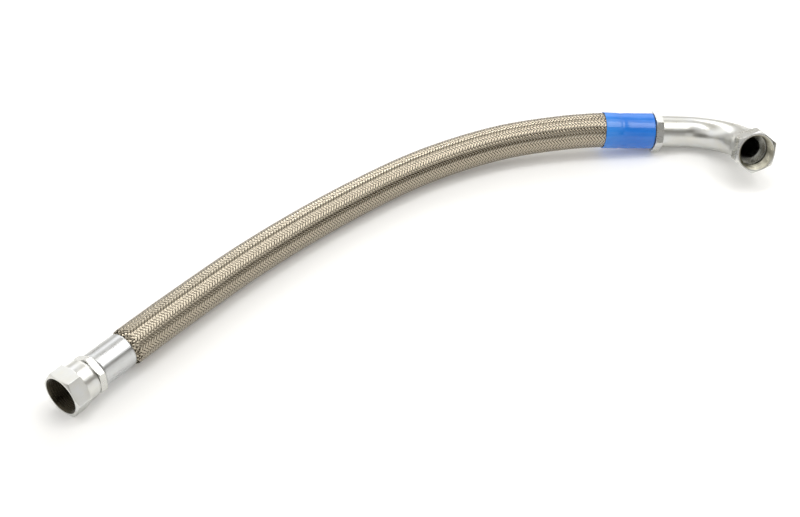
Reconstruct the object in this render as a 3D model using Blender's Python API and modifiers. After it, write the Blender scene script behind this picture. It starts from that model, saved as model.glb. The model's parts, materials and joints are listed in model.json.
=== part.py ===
"""Braided supply line: a wire-braided hose with a straight swivel end and a swept 90 degree swivel end.

Metres, +Z up. The line lies on the plane z = 0. The origin is the middle of the flat that the straight
swivel nut lies on, and +X runs along that nut's axis into the hose.
"""

import math

import bmesh
import bpy
from mathutils import Matrix, Vector

MM = 0.001

# Clearances
SEAT_GAP = 0.3 * MM
LAYER_GAP = 0.25 * MM

# Swivel nut, the same at both ends: 37 degree flare type with a 1 5/16 inch thread of 12 per inch
NUT_ACROSS_FLATS = 38.1 * MM
NUT_HEX_LENGTH = 16.1 * MM
NUT_FACE_DIAMETER = 37.9 * MM
NUT_CHAMFER_DEGREES = 30.0
NUT_NECK_DIAMETER = 36.0 * MM
NUT_NECK_LENGTH = 14.0 * MM
NUT_NECK_TAPER = 2.6 * MM
NUT_LIP_LENGTH = 3.2 * MM
THREAD_BORE_DIAMETER = 31.1 * MM
THREAD_LENGTH = 14.0 * MM
THREAD_LEAD_IN = 2.0 * MM
THREAD_RUN_OUT = 0.8 * MM

# Flare seat and the head that the nut's lip pulls on
HEAD_DIAMETER = 33.2 * MM
HEAD_LENGTH = 4.2 * MM
HEAD_PLAY = 0.4 * MM
NOSE_DIAMETER = 30.3 * MM
NOSE_RIM = 0.4 * MM
NOSE_LENGTH = 7.4 * MM
SEAT_BORE_DIAMETER = 20.8 * MM
SEAT_HALF_DEGREES = 37.0

# Hose stems
SHANK_DIAMETER = 30.6 * MM
COLLAR_CHAMFER = 0.9 * MM
STRAIGHT_COLLAR_ACROSS_FLATS = 32.8 * MM
STRAIGHT_COLLAR_LENGTH = 6.35 * MM
STRAIGHT_COLLAR_TURN = 30.0
COLLAR_TO_NUT = 0.7 * MM
ELBOW_COLLAR_ACROSS_FLATS = 37.5 * MM
ELBOW_COLLAR_LENGTH = 7.6 * MM
LOCK_RING_LENGTH = 2.1 * MM
LOCK_RING_HEIGHT = 0.8 * MM
LOCK_RING_PLAY = 1.75 * MM
BARB_COUNT = 4
BARB_HEIGHT = 0.5 * MM
TAIL_WALL = 1.35 * MM
TAIL_SETBACK = 2.0 * MM

# Crimped ferrules, pressed in until their outside is narrower than the free braid
FERRULE_CRIMP = 1.3 * MM
FERRULE_WALL = 1.3 * MM
FERRULE_LENGTH = 35.0 * MM
FERRULE_FLANGE = 2.6 * MM
FERRULE_EDGE = 0.6 * MM
COLLAR_GAP = 0.7 * MM

# Hose layers
BRAID_DIAMETER = 34.9 * MM
BRAID_WALL = 0.7 * MM
TEXTILE_WALL = 0.6 * MM
CORE_WALL = 2.95 * MM
CORE_CRIMP_WALL = 1.93 * MM
CRIMP_TAPER = 5.3 * MM

# Identification sleeve on the elbow end
SLEEVE_WALL = 0.75 * MM
SLEEVE_LENGTH = 51.0 * MM
SLEEVE_EDGE = 0.3 * MM

# Elbow
TUBE_DIAMETER = 31.75 * MM
TUBE_WALL = 2.6 * MM
SOCKET_DEPTH = 5.0 * MM
ELBOW_LEAD = 22.2 * MM
ELBOW_RADIUS = 52.0 * MM
ELBOW_OUTLET = 1.0 * MM
ELBOW_ROLL_DEGREES = 21.7
ELBOW_NUT_TURN = 18.4
SPIGOT_LENGTH = 3.0 * MM

# Where the elbow end lies: the collar's hose-side face, and the way the hose points into it
ELBOW_COLLAR_POINT = (0.6261, -0.1877, 0.0195)
ELBOW_HEADING_DEGREES = -46.0
ELBOW_SLOPE_DEGREES = -5.5

# The free hose's own route, between the two ferrules
HOSE_ROUTE = (
    (0.1241, 0.0000, 0.0186),
    (0.2292, -0.0037, 0.0180),
    (0.3398, -0.0178, 0.0176),
    (0.4352, -0.0419, 0.0189),
    (0.5097, -0.0792, 0.0220),
    (0.5600, -0.1200, 0.0242),
)
ROUTE_STEP = 2.0 * BRAID_DIAMETER
SLEEVE_RUN_OUT = 2.0 * MM

# Facets
TURNED_STEPS = 48
HOSE_BEVEL_STEPS = 4
TUBE_BEVEL_STEPS = 10
BEND_STEPS = 12
SHARP_DEGREES = 30.0

# Sizes that follow
AXIS_HEIGHT = NUT_ACROSS_FLATS / 2
NUT_LENGTH = NUT_HEX_LENGTH + NUT_NECK_LENGTH
RELIEF_RADIUS = HEAD_DIAMETER / 2 + HEAD_PLAY
LIP_RADIUS = SHANK_DIAMETER / 2 + HEAD_PLAY
HEAD_BACK = NUT_LENGTH - NUT_LIP_LENGTH - SEAT_GAP
HEAD_FRONT = HEAD_BACK - HEAD_LENGTH
NOSE_FRONT = HEAD_FRONT - NOSE_LENGTH
SHANK_BACK = NUT_LENGTH + COLLAR_TO_NUT
STRAIGHT_COLLAR_FRONT = SHANK_BACK
STRAIGHT_COLLAR_BACK = STRAIGHT_COLLAR_FRONT + STRAIGHT_COLLAR_LENGTH
FERRULE_MOUTH = COLLAR_GAP + FERRULE_LENGTH
FLANGE_BACK = COLLAR_GAP + FERRULE_FLANGE
LOCK_RING_FRONT = FLANGE_BACK + SEAT_GAP
LOCK_RING_BACK = LOCK_RING_FRONT + LOCK_RING_LENGTH
HOSE_CUT = LOCK_RING_BACK + SEAT_GAP
TAIL_END = FERRULE_MOUTH - TAIL_SETBACK
FERRULE_RADIUS = BRAID_DIAMETER / 2 - FERRULE_CRIMP
FERRULE_BORE_RADIUS = FERRULE_RADIUS - FERRULE_WALL
TUBE_END = SHANK_BACK + SEAT_GAP

# Radii of the hose layers, free and under a ferrule, each outer then inner
BRAID_FREE = (BRAID_DIAMETER / 2, BRAID_DIAMETER / 2 - BRAID_WALL)
TEXTILE_FREE = (BRAID_FREE[1] - LAYER_GAP, BRAID_FREE[1] - LAYER_GAP - TEXTILE_WALL)
CORE_FREE = (TEXTILE_FREE[1] - LAYER_GAP, TEXTILE_FREE[1] - LAYER_GAP - CORE_WALL)
BRAID_CRIMP = (FERRULE_BORE_RADIUS - LAYER_GAP, FERRULE_BORE_RADIUS - LAYER_GAP - BRAID_WALL)
TEXTILE_CRIMP = (BRAID_CRIMP[1] - LAYER_GAP, BRAID_CRIMP[1] - LAYER_GAP - TEXTILE_WALL)
CORE_CRIMP = (TEXTILE_CRIMP[1] - LAYER_GAP, TEXTILE_CRIMP[1] - LAYER_GAP - CORE_CRIMP_WALL)

# Radii of a stem's hose tail, which fits the crimped core's flat sides
HOSE_FACET = math.cos(math.pi / (4 + 2 * HOSE_BEVEL_STEPS))
BARB_RADIUS = CORE_CRIMP[1] * HOSE_FACET - LAYER_GAP
TAIL_RADIUS = BARB_RADIUS - BARB_HEIGHT
TAIL_BORE_RADIUS = TAIL_RADIUS - TAIL_WALL
LOCK_RING_RADIUS = FERRULE_BORE_RADIUS - LOCK_RING_PLAY
LOCK_GROOVE_RADIUS = LOCK_RING_RADIUS - LOCK_RING_HEIGHT


def clear_scene():
    for old in list(bpy.data.objects):
        bpy.data.objects.remove(old, do_unlink=True)


def new_collection(name):
    made = bpy.data.collections.new(name)
    bpy.context.scene.collection.children.link(made)
    return made


def make_material(name, colour, roughness, metallic):
    material = bpy.data.materials.new(name)
    material.use_nodes = True
    shader = material.node_tree.nodes["Principled BSDF"]
    shader.inputs["Base Color"].default_value = (*colour, 1.0)
    shader.inputs["Roughness"].default_value = roughness
    shader.inputs["Metallic"].default_value = metallic
    return material


def zinc_plate(piece):
    return make_material(piece + "_zinc", (0.62, 0.63, 0.61), 0.24, 1.0)


def placement(origin, axis, turn_degrees=0.0):
    """Matrix whose Z is axis and whose X points as far up as it can, turned about that axis."""
    z = Vector(axis).normalized()
    x = (Vector((0, 0, 1)) - z * z.z).normalized()
    y = z.cross(x)
    frame = Matrix((x, y, z)).transposed().to_4x4()
    return Matrix.Translation(origin) @ frame @ Matrix.Rotation(math.radians(turn_degrees), 4, "Z")


def add_empty(name, matrix):
    empty = bpy.data.objects.new(name, None)
    empty.empty_display_size = 0.02
    parts.objects.link(empty)
    empty.matrix_world = matrix
    return empty


def add_object(name, data, material, parent=None, depth=0.0, turn_degrees=0.0):
    """Object carried by an empty, moved back from it by depth along its axis."""
    made = bpy.data.objects.new(name, data)
    if material:
        data.materials.append(material)
    made.parent = parent
    made.location = (0, 0, -depth)
    made.rotation_euler = (0, 0, math.radians(turn_degrees))
    parts.objects.link(made)
    return made


def turned(name, outline, material, parent, depth=0.0, turn_degrees=0.0):
    """Ring turned about local Z from a closed outline of (radius, depth) that goes down its outer side."""
    mesh = bpy.data.meshes.new(name)
    points = [(radius, 0, -down) for radius, down in outline]
    edges = [(i, (i + 1) % len(points)) for i in range(len(points))]
    mesh.from_pydata(points, edges, [])
    made = add_object(name, mesh, material, parent, depth, turn_degrees)
    screw = made.modifiers.new("Turn", "SCREW")
    screw.steps = TURNED_STEPS
    screw.render_steps = TURNED_STEPS
    screw.use_merge_vertices = True
    screw.merge_threshold = 0.00001
    return made


def keep_inside_hexagon(piece, across_flats):
    """Cuts wrench flats on a turned piece: what stands out of a hexagon prism about its axis goes."""
    reach = 0.2
    bpy.ops.mesh.primitive_cylinder_add(vertices=6, radius=across_flats / math.sqrt(3), depth=reach)
    prism = bpy.context.object
    prism.name = piece.name + "_hexagon"
    for holder in list(prism.users_collection):
        holder.objects.unlink(prism)
    cutters.objects.link(prism)
    prism.parent = piece
    prism.hide_render = True
    prism.display_type = "WIRE"
    cut = piece.modifiers.new("Flats", "BOOLEAN")
    cut.operation = "INTERSECT"
    cut.solver = "EXACT"
    cut.object = prism


def realise(piece):
    """Replaces an object's modifiers by the mesh that they make, shaded smooth with sharp edges kept."""
    bpy.context.view_layer.update()
    evaluated = piece.evaluated_get(bpy.context.evaluated_depsgraph_get())
    mesh = bpy.data.meshes.new_from_object(evaluated)
    mesh.name = piece.name
    mesh.shade_smooth()
    mesh.set_sharp_from_angle(angle=math.radians(SHARP_DEGREES))
    piece.modifiers.clear()
    piece.data = mesh


def swept_mesh(points, radii, bevel):
    """Capped tube mesh along points, with a radius for each point."""
    curve = bpy.data.curves.new("sweep", "CURVE")
    curve.dimensions = "3D"
    curve.bevel_depth = 1.0
    curve.bevel_resolution = bevel
    curve.use_fill_caps = True
    spline = curve.splines.new("POLY")
    spline.points.add(len(points) - 1)
    for knot, place, radius in zip(spline.points, points, radii):
        knot.co = (*place, 1.0)
        knot.radius = radius
    sweep = bpy.data.objects.new("sweep", curve)
    bpy.context.scene.collection.objects.link(sweep)
    bpy.context.view_layer.update()
    evaluated = sweep.evaluated_get(bpy.context.evaluated_depsgraph_get())
    mesh = bpy.data.meshes.new_from_object(evaluated)
    bpy.data.objects.remove(sweep, do_unlink=True)
    weld(mesh)
    return mesh


def weld(mesh):
    work = bmesh.new()
    work.from_mesh(mesh)
    bmesh.ops.remove_doubles(work, verts=work.verts, dist=0.000001)
    bmesh.ops.recalc_face_normals(work, faces=work.faces)
    work.to_mesh(mesh)
    work.free()


def hollow_tube(name, points, outer, inner, bevel, material, parent=None):
    """Open-ended tube along points: an outer sweep with an inner one, run past both ends, cut out of it."""
    made = add_object(name, swept_mesh(points, outer, bevel), material, parent)
    overrun = 2.0 * MM
    first = points[0] + (points[0] - points[1]).normalized() * overrun
    last = points[-1] + (points[-1] - points[-2]).normalized() * overrun
    long_points = [first, *points, last]
    long_radii = [inner[0], *inner, inner[-1]]
    bore = bpy.data.objects.new(name + "_bore", swept_mesh(long_points, long_radii, bevel))
    cutters.objects.link(bore)
    bore.parent = parent
    bore.hide_render = True
    bore.display_type = "WIRE"
    cut = made.modifiers.new("Bore", "BOOLEAN")
    cut.operation = "DIFFERENCE"
    cut.solver = "EXACT"
    cut.object = bore
    realise(made)
    return made


def smooth_route(knots, step):
    """Points about step apart on a smooth curve through knots, from the second knot to the last but one."""
    places = []
    for before, start, stop, after in zip(knots, knots[1:], knots[2:], knots[3:]):
        span = (stop - start).length
        reach = math.sqrt(span)
        back = math.sqrt((start - before).length)
        ahead = math.sqrt((after - stop).length)
        leave = stop - start + reach * ((start - before) / back - (stop - before) / (back + reach))
        arrive = stop - start + reach * ((after - stop) / ahead - (after - start) / (reach + ahead))
        count = max(1, round(span / step))
        for i in range(count):
            t = i / count
            places.append(
                (2 * t**3 - 3 * t**2 + 1) * start
                + (t**3 - 2 * t**2 + t) * leave
                + (3 * t**2 - 2 * t**3) * stop
                + (t**3 - t**2) * arrive
            )
    return [*places, knots[-2]]


def swivel_nut(name, parent):
    corner = NUT_ACROSS_FLATS / math.sqrt(3)
    face = NUT_FACE_DIAMETER / 2
    chamfer = (corner - face) * math.tan(math.radians(NUT_CHAMFER_DEGREES))
    neck = NUT_NECK_DIAMETER / 2
    thread = THREAD_BORE_DIAMETER / 2
    lip_front = NUT_LENGTH - NUT_LIP_LENGTH
    outline = [
        (face, 0),
        (corner, chamfer),
        (corner, NUT_HEX_LENGTH - chamfer),
        (face, NUT_HEX_LENGTH),
        (neck, NUT_HEX_LENGTH),
        (neck, NUT_LENGTH - NUT_NECK_TAPER),
        (neck - NUT_NECK_TAPER / 2, NUT_LENGTH),
        (LIP_RADIUS, NUT_LENGTH),
        (LIP_RADIUS, lip_front),
        (RELIEF_RADIUS, lip_front),
        (RELIEF_RADIUS, THREAD_LENGTH + THREAD_RUN_OUT),
        (thread, THREAD_LENGTH),
        (thread, THREAD_LEAD_IN),
        (thread + THREAD_LEAD_IN, 0),
    ]
    nut = turned(name, outline, zinc_plate(name), parent)
    keep_inside_hexagon(nut, NUT_ACROSS_FLATS)
    realise(nut)


def flare_outline():
    """Front of a stem, as depths behind the nut's face: first the outer side, then the seat and its bore."""
    nose = NOSE_DIAMETER / 2
    bore = SEAT_BORE_DIAMETER / 2
    rim = nose - NOSE_RIM
    throat = NOSE_FRONT + (rim - bore) / math.tan(math.radians(SEAT_HALF_DEGREES))
    outer = [
        (nose, NOSE_FRONT),
        (nose, HEAD_FRONT),
        (HEAD_DIAMETER / 2, HEAD_FRONT),
        (HEAD_DIAMETER / 2, HEAD_BACK),
    ]
    inner = [(bore, throat), (rim, NOSE_FRONT)]
    return outer, inner


def collar_outline(across_flats, front, back):
    corner = across_flats / math.sqrt(3)
    low = corner - COLLAR_CHAMFER / math.tan(math.radians(NUT_CHAMFER_DEGREES))
    return [(low, front), (corner, front + COLLAR_CHAMFER), (corner, back - COLLAR_CHAMFER), (low, back)]


def tail_outline(collar_back):
    """Hose tail behind a collar: lock groove, lock ring, barbs and the end of the bore."""
    outline = [
        (LOCK_GROOVE_RADIUS, collar_back),
        (LOCK_GROOVE_RADIUS, collar_back + LOCK_RING_FRONT),
        (LOCK_RING_RADIUS, collar_back + LOCK_RING_FRONT),
        (LOCK_RING_RADIUS, collar_back + LOCK_RING_BACK),
        (TAIL_RADIUS, collar_back + LOCK_RING_BACK),
    ]
    pitch = (TAIL_END - LOCK_RING_BACK) / BARB_COUNT
    for i in range(BARB_COUNT):
        top = collar_back + LOCK_RING_BACK + (i + 0.5) * pitch
        outline += [(TAIL_RADIUS, top), (BARB_RADIUS, top), (TAIL_RADIUS, top + pitch / 2)]
    return [*outline, (TAIL_BORE_RADIUS, collar_back + TAIL_END)]


def straight_stem(parent):
    name = "straight_stem"
    front, seat = flare_outline()
    shank = SHANK_DIAMETER / 2
    step = STRAIGHT_COLLAR_BACK
    outline = [
        *front,
        (shank, HEAD_BACK),
        (shank, STRAIGHT_COLLAR_FRONT),
        *collar_outline(STRAIGHT_COLLAR_ACROSS_FLATS, STRAIGHT_COLLAR_FRONT, STRAIGHT_COLLAR_BACK),
        *tail_outline(STRAIGHT_COLLAR_BACK),
        (TAIL_BORE_RADIUS, step),
        (SEAT_BORE_DIAMETER / 2, step),
        *seat,
    ]
    stem = turned(name, outline, zinc_plate(name), parent, turn_degrees=STRAIGHT_COLLAR_TURN)
    keep_inside_hexagon(stem, STRAIGHT_COLLAR_ACROSS_FLATS)
    realise(stem)


def elbow_stem(parent):
    name = "elbow_stem"
    socket = TUBE_DIAMETER / 2 + SEAT_GAP
    front = -ELBOW_COLLAR_LENGTH
    outline = [
        *collar_outline(ELBOW_COLLAR_ACROSS_FLATS, front, 0),
        *tail_outline(0),
        (TAIL_BORE_RADIUS, front + SOCKET_DEPTH),
        (socket, front + SOCKET_DEPTH),
        (socket, front),
    ]
    stem = turned(name, outline, zinc_plate(name), parent)
    keep_inside_hexagon(stem, ELBOW_COLLAR_ACROSS_FLATS)
    realise(stem)


def ferrule(name, parent, collar_back):
    lock = LOCK_GROOVE_RADIUS + SEAT_GAP
    outline = [
        (FERRULE_RADIUS - FERRULE_EDGE, COLLAR_GAP),
        (FERRULE_RADIUS, COLLAR_GAP + FERRULE_EDGE),
        (FERRULE_RADIUS, FERRULE_MOUTH - FERRULE_EDGE),
        (FERRULE_RADIUS - FERRULE_EDGE, FERRULE_MOUTH),
        (FERRULE_BORE_RADIUS, FERRULE_MOUTH),
        (FERRULE_BORE_RADIUS, FLANGE_BACK),
        (lock, FLANGE_BACK),
        (lock, COLLAR_GAP),
    ]
    realise(turned(name, outline, zinc_plate(name), parent, depth=collar_back))


def id_sleeve(parent):
    back = COLLAR_GAP + SLEEVE_LENGTH
    step = FERRULE_MOUTH + SEAT_GAP
    on_ferrule = FERRULE_RADIUS + SEAT_GAP
    on_braid = BRAID_DIAMETER / 2 + SEAT_GAP
    outer = max(on_ferrule, on_braid) + SLEEVE_WALL
    outline = [
        (outer - SLEEVE_EDGE, COLLAR_GAP),
        (outer, COLLAR_GAP + SLEEVE_EDGE),
        (outer, back - SLEEVE_EDGE),
        (outer - SLEEVE_EDGE, back),
        (on_braid, back),
        (on_braid, step),
        (on_ferrule, step),
        (on_ferrule, COLLAR_GAP),
    ]
    blue = make_material("sleeve_blue", (0.03, 0.16, 0.72), 0.18, 0.0)
    realise(turned("id_sleeve", outline, blue, parent))


def elbow_path():
    """Centre line of the bent tube in the elbow end's own frame, and the outlet's direction there."""
    roll = math.radians(ELBOW_ROLL_DEGREES)
    ahead = Vector((0, 0, 1))
    outlet = Vector((math.sin(roll), math.cos(roll), 0))
    start = ahead * (ELBOW_COLLAR_LENGTH - SOCKET_DEPTH + SEAT_GAP)
    bend = ahead * (ELBOW_COLLAR_LENGTH + ELBOW_LEAD)
    points = [start]
    for i in range(BEND_STEPS + 1):
        turn = math.radians(90) * i / BEND_STEPS
        points.append(bend + ELBOW_RADIUS * (math.sin(turn) * ahead + (1 - math.cos(turn)) * outlet))
    points.append(points[-1] + outlet * ELBOW_OUTLET)
    return points, outlet


def elbow_tube(parent):
    name = "elbow_tube"
    points, _ = elbow_path()
    outer = [TUBE_DIAMETER / 2] * len(points)
    inner = [TUBE_DIAMETER / 2 - TUBE_WALL] * len(points)
    hollow_tube(name, points, outer, inner, TUBE_BEVEL_STEPS, zinc_plate(name), parent)


def elbow_nose(parent):
    name = "elbow_nose"
    front, seat = flare_outline()
    shank = SHANK_DIAMETER / 2
    spigot = TUBE_DIAMETER / 2 - TUBE_WALL - SEAT_GAP
    outline = [
        *front,
        (shank, HEAD_BACK),
        (shank, SHANK_BACK),
        (spigot, SHANK_BACK),
        (spigot, SHANK_BACK + SPIGOT_LENGTH),
        (SEAT_BORE_DIAMETER / 2, SHANK_BACK + SPIGOT_LENGTH),
        *seat,
    ]
    realise(turned(name, outline, zinc_plate(name), parent))


def hose_line(straight_mouth, straight_way, elbow_mouth, elbow_way):
    """Points along the whole hose, from cut end to cut end, and whether each is held under a ferrule."""
    under = FERRULE_MOUTH - HOSE_CUT
    straight_free = straight_mouth + straight_way * CRIMP_TAPER
    elbow_free = elbow_mouth - elbow_way * CRIMP_TAPER
    sleeve_end = elbow_mouth - elbow_way * (COLLAR_GAP + SLEEVE_LENGTH - FERRULE_MOUTH + SLEEVE_RUN_OUT)
    route = [Vector(place) for place in HOSE_ROUTE]
    knots = [straight_mouth, straight_free, *route, sleeve_end, elbow_free]
    free = [*smooth_route(knots, ROUTE_STEP), elbow_free]
    points = [straight_mouth - straight_way * under, straight_mouth, *free]
    points += [elbow_mouth, elbow_mouth + elbow_way * under]
    held = [True, True] + [False] * len(free) + [True, True]
    return points, held


def hose_layer(name, line, free, crimp, material):
    points, held = line
    outer = [crimp[0] if tight else free[0] for tight in held]
    inner = [crimp[1] if tight else free[1] for tight in held]
    hollow_tube(name, points, outer, inner, HOSE_BEVEL_STEPS, material)


def build():
    straight_way = Vector((1, 0, 0))
    heading = math.radians(ELBOW_HEADING_DEGREES)
    slope = math.radians(ELBOW_SLOPE_DEGREES)
    level = math.cos(slope)
    elbow_way = Vector((math.cos(heading) * level, math.sin(heading) * level, math.sin(slope)))

    nut_face = Vector((-NUT_HEX_LENGTH / 2, 0, AXIS_HEIGHT))
    straight_end = add_empty("straight_end", placement(nut_face, -straight_way))
    straight_swivel = add_empty("straight_swivel", placement(nut_face, -straight_way))
    swivel_nut("straight_swivel_nut", straight_swivel)
    straight_stem(straight_end)
    ferrule("straight_ferrule", straight_end, STRAIGHT_COLLAR_BACK)

    collar_point = Vector(ELBOW_COLLAR_POINT)
    elbow_frame = placement(collar_point, elbow_way)
    elbow_end = add_empty("elbow_end", elbow_frame)
    elbow_stem(elbow_end)
    ferrule("elbow_ferrule", elbow_end, 0)
    id_sleeve(elbow_end)
    elbow_tube(elbow_end)

    points, outlet = elbow_path()
    outlet_way = elbow_frame.to_3x3() @ outlet
    outlet_face = elbow_frame @ points[-1] + outlet_way * TUBE_END
    elbow_outlet = add_empty("elbow_outlet", placement(outlet_face, outlet_way))
    elbow_swivel = add_empty("elbow_swivel", placement(outlet_face, outlet_way, ELBOW_NUT_TURN))
    elbow_nose(elbow_outlet)
    swivel_nut("elbow_swivel_nut", elbow_swivel)

    straight_mouth = nut_face + straight_way * (STRAIGHT_COLLAR_BACK + FERRULE_MOUTH)
    elbow_mouth = collar_point - elbow_way * FERRULE_MOUTH
    line = hose_line(straight_mouth, straight_way, elbow_mouth, elbow_way)
    steel_wire = make_material("braid_steel", (0.50, 0.45, 0.37), 0.35, 1.0)
    yarn = make_material("textile_yarn", (0.70, 0.66, 0.55), 0.9, 0.0)
    rubber = make_material("core_rubber", (0.02, 0.02, 0.02), 0.7, 0.0)
    hose_layer("wire_braid", line, BRAID_FREE, BRAID_CRIMP, steel_wire)
    hose_layer("textile_ply", line, TEXTILE_FREE, TEXTILE_CRIMP, yarn)
    hose_layer("hose_core", line, CORE_FREE, CORE_CRIMP, rubber)


clear_scene()
parts = new_collection("braided_supply_line")
cutters = new_collection("cutters")
build()
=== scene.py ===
"""Looks of a braided supply line: woven wire hose, zinc fittings, blue sleeve, studio stage."""

import json
import math

import bpy
import numpy as np
from bpy.props import FloatProperty, FloatVectorProperty, IntProperty, PointerProperty
from mathutils import Matrix, Vector


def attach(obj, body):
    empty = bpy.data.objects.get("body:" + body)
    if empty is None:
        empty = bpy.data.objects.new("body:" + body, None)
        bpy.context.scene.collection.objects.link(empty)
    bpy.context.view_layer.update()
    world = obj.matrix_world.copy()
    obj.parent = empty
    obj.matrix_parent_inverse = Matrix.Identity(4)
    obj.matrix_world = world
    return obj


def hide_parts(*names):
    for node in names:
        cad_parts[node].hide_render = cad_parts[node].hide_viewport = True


bl_info = {
    "name": "Braided supply line",
    "version": (1, 0, 0),
    "blender": (4, 5, 0),
    "location": "View3D > Sidebar > Supply line",
    "description": "Dresses the packed supply line with woven wire, zinc plate and a blue sleeve",
    "category": "Object",
}

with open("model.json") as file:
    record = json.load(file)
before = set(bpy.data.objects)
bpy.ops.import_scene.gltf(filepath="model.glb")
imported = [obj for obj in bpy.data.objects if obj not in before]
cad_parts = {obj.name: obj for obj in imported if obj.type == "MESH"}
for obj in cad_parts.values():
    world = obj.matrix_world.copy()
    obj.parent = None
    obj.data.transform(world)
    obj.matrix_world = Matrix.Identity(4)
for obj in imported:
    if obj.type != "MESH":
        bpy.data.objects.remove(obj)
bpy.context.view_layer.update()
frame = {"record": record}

MM = 0.001

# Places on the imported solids, in metres, and turns in radians
ELBOW_COLLAR_POINT = Vector((0.6261, -0.1877, 0.0195))
ELBOW_HEADING = math.radians(-46.0)
ELBOW_SLOPE = math.radians(-5.5)
ELBOW_NUT_TURN = math.radians(18.4)
ELBOW_ROLL = math.radians(21.7)
STRAIGHT_COLLAR_TURN = math.radians(30.0)
HOSE_ROUTE = (
    (0.1241, 0.0000, 0.0186),
    (0.2292, -0.0037, 0.0180),
    (0.3398, -0.0178, 0.0176),
    (0.4352, -0.0419, 0.0189),
    (0.5097, -0.0792, 0.0220),
    (0.5600, -0.1200, 0.0242),
)

# Depths and radii of the fittings, in millimetres
NUT_HEX_LENGTH = 16.1
NUT_LENGTH = 30.1
NUT_FACE_RADIUS = 18.95
NUT_NECK_RADIUS = 18.0
NUT_NECK_TAPER = 2.6
NUT_LIP_FRONT = 26.9
LIP_RADIUS = 15.7
RELIEF_RADIUS = 17.0
RELIEF_FRONT = 14.8
THREAD_RADIUS = 15.55
THREAD_LENGTH = 14.0
THREAD_LEAD_IN = 2.0
THREAD_MARGIN = 0.1
TOLERANCE = 0.01
CHAMFER_SLOPE = math.tan(math.radians(30.0))
NOSE_RADIUS = 15.15
NOSE_FRONT = 15.0
NOSE_RIM = 0.4
HEAD_RADIUS = 16.6
HEAD_FRONT = 22.4
HEAD_BACK = 26.6
SEAT_RADIUS = 10.4
SEAT_SLOPE = math.tan(math.radians(37.0))
SHANK_RADIUS = 15.3
SHANK_BACK = 30.8
COLLAR_CHAMFER = 0.9
STRAIGHT_COLLAR_FORWARD = 0.4
STRAIGHT_COLLAR_BACK = 37.15
STRAIGHT_COLLAR_FLATS = 32.8
ELBOW_COLLAR_LENGTH = 7.6
ELBOW_COLLAR_FLATS = 37.5
GROOVE_RADIUS = 12.3
LOCK_RING_RADIUS = 13.1
LOCK_RING_FRONT = 3.6
LOCK_RING_BACK = 5.7
TAIL_RADIUS = 9.75
BARB_RADIUS = 10.25
BARB_COUNT = 4
TAIL_END = 33.7
TAIL_BORE_RADIUS = 8.4
COLLAR_GAP = 0.7
FERRULE_MOUTH = 35.7
FERRULE_RADIUS = 16.15
FERRULE_BORE_RADIUS = 14.85
FERRULE_CHAMFER = 0.9
FERRULE_ROUNDING = 0.5
FLANGE_BACK = 3.3
FLANGE_RADIUS = 12.6
CRIMP_FADE = 4.0
SLEEVE_RADIUS = 18.5
SLEEVE_BACK = 51.7
SLEEVE_ON_BRAID = 17.75
SLEEVE_ON_FERRULE = 16.45
SLEEVE_STEP_GAP = 0.3
SLEEVE_ROUNDING = 0.3
SLEEVE_RUN_OUT = 2.0
SOCKET_DEPTH = 5.0
SOCKET_RADIUS = 16.175
TUBE_RADIUS = 15.875
TUBE_WALL = 2.6
TUBE_START = 2.9
TUBE_LEAD = 22.2
TUBE_BEND_RADIUS = 52.0
TUBE_OUTLET = 1.0
SPIGOT_RADIUS = 12.975
SPIGOT_LENGTH = 3.0

# Hose in its ferrules and free of them, in millimetres; a layer's radii are outer, inner
HOSE_CUT = 6.0
CRIMP_TAPER = 5.3
BRAID_CRIMP = 2.9
YARN_CRIMPED = (13.65, 13.05)
YARN_FREE = (16.4, 15.9)
CORE_CRIMPED = (12.8, 10.9)
CORE_FREE = (15.65, 12.7)

# Ribbon of wires: places across it from -1 to 1, each with its share of the crown
RIBBON_SECTION = ((-1.0, 0.0), (-0.5, 0.78), (0.0, 1.0), (0.5, 0.78), (1.0, 0.0))
RIBBON_FLATNESS = 2.0
WIRES_IN_RIBBON = 7
WIRE_GRAIN = 1.7
WIRE_GRAIN_OFFSET = 7.3

# Yarn layer: length of its pattern in a metre of hose, and fineness of its yarns
YARN_PATTERN = 10
YARN_FINENESS = 150

# Thread: steepness of its sides, width of its crest, and slope of its end
THREAD_SIDE = 2.4
THREAD_CREST = 0.1
THREAD_RUN_OUT_SLOPE = 1.8

# How far the sleeve's film lies in, in millimetres: all over, on the ferrule, at the ferrule's end,
# and in waves given as count, height, twist for each millimetre and start; and where it is paler
FILM_DIP = 0.11
FILM_FERRULE_DIP = 0.12
FILM_END_DIP = 0.28
FILM_END_LEAD = 2.0
FILM_END_REACH = 3.5
FILM_WAVES = ((3, 0.06, 0.11, 0.0), (5, 0.05, -0.07, 1.3))
FILM_PALE_START = 34.0
FILM_PALE_END = 50.0

# Brightness of the room, by the sine of the height: far side, side of the camera, and patches
# given as direction, inner and outer angle in degrees, and brightness
FAR_WALL = (
    (0.0, 0.31), (0.17, 0.35), (0.34, 0.60), (0.42, 0.88),
    (0.69, 0.90), (0.77, 0.36), (0.90, 0.32), (1.0, 0.52),
)
FRONT_WALL = (
    (0.0, 0.14), (0.08, 0.07), (0.17, 0.05), (0.46, 0.05),
    (0.56, 0.38), (0.68, 0.47), (0.82, 0.42), (1.0, 0.50),
)
ROOM_PATCHES = (
    ((-0.62, -0.70, 0.26), 10, 20, 0.56),
    ((-0.47, -0.60, 0.70), 6, 22, 0.04),
    ((-0.985, -0.02, 0.17), 10, 24, 0.04),
)
FRONT_DIRECTION = (-0.1, -0.99, 0)
FRONT_CHANGE = 0.25

# Shares of red, green and blue that a dark part of the room loses
ROOM_WARMTH = (0.0, 0.12, 0.36)

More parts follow.
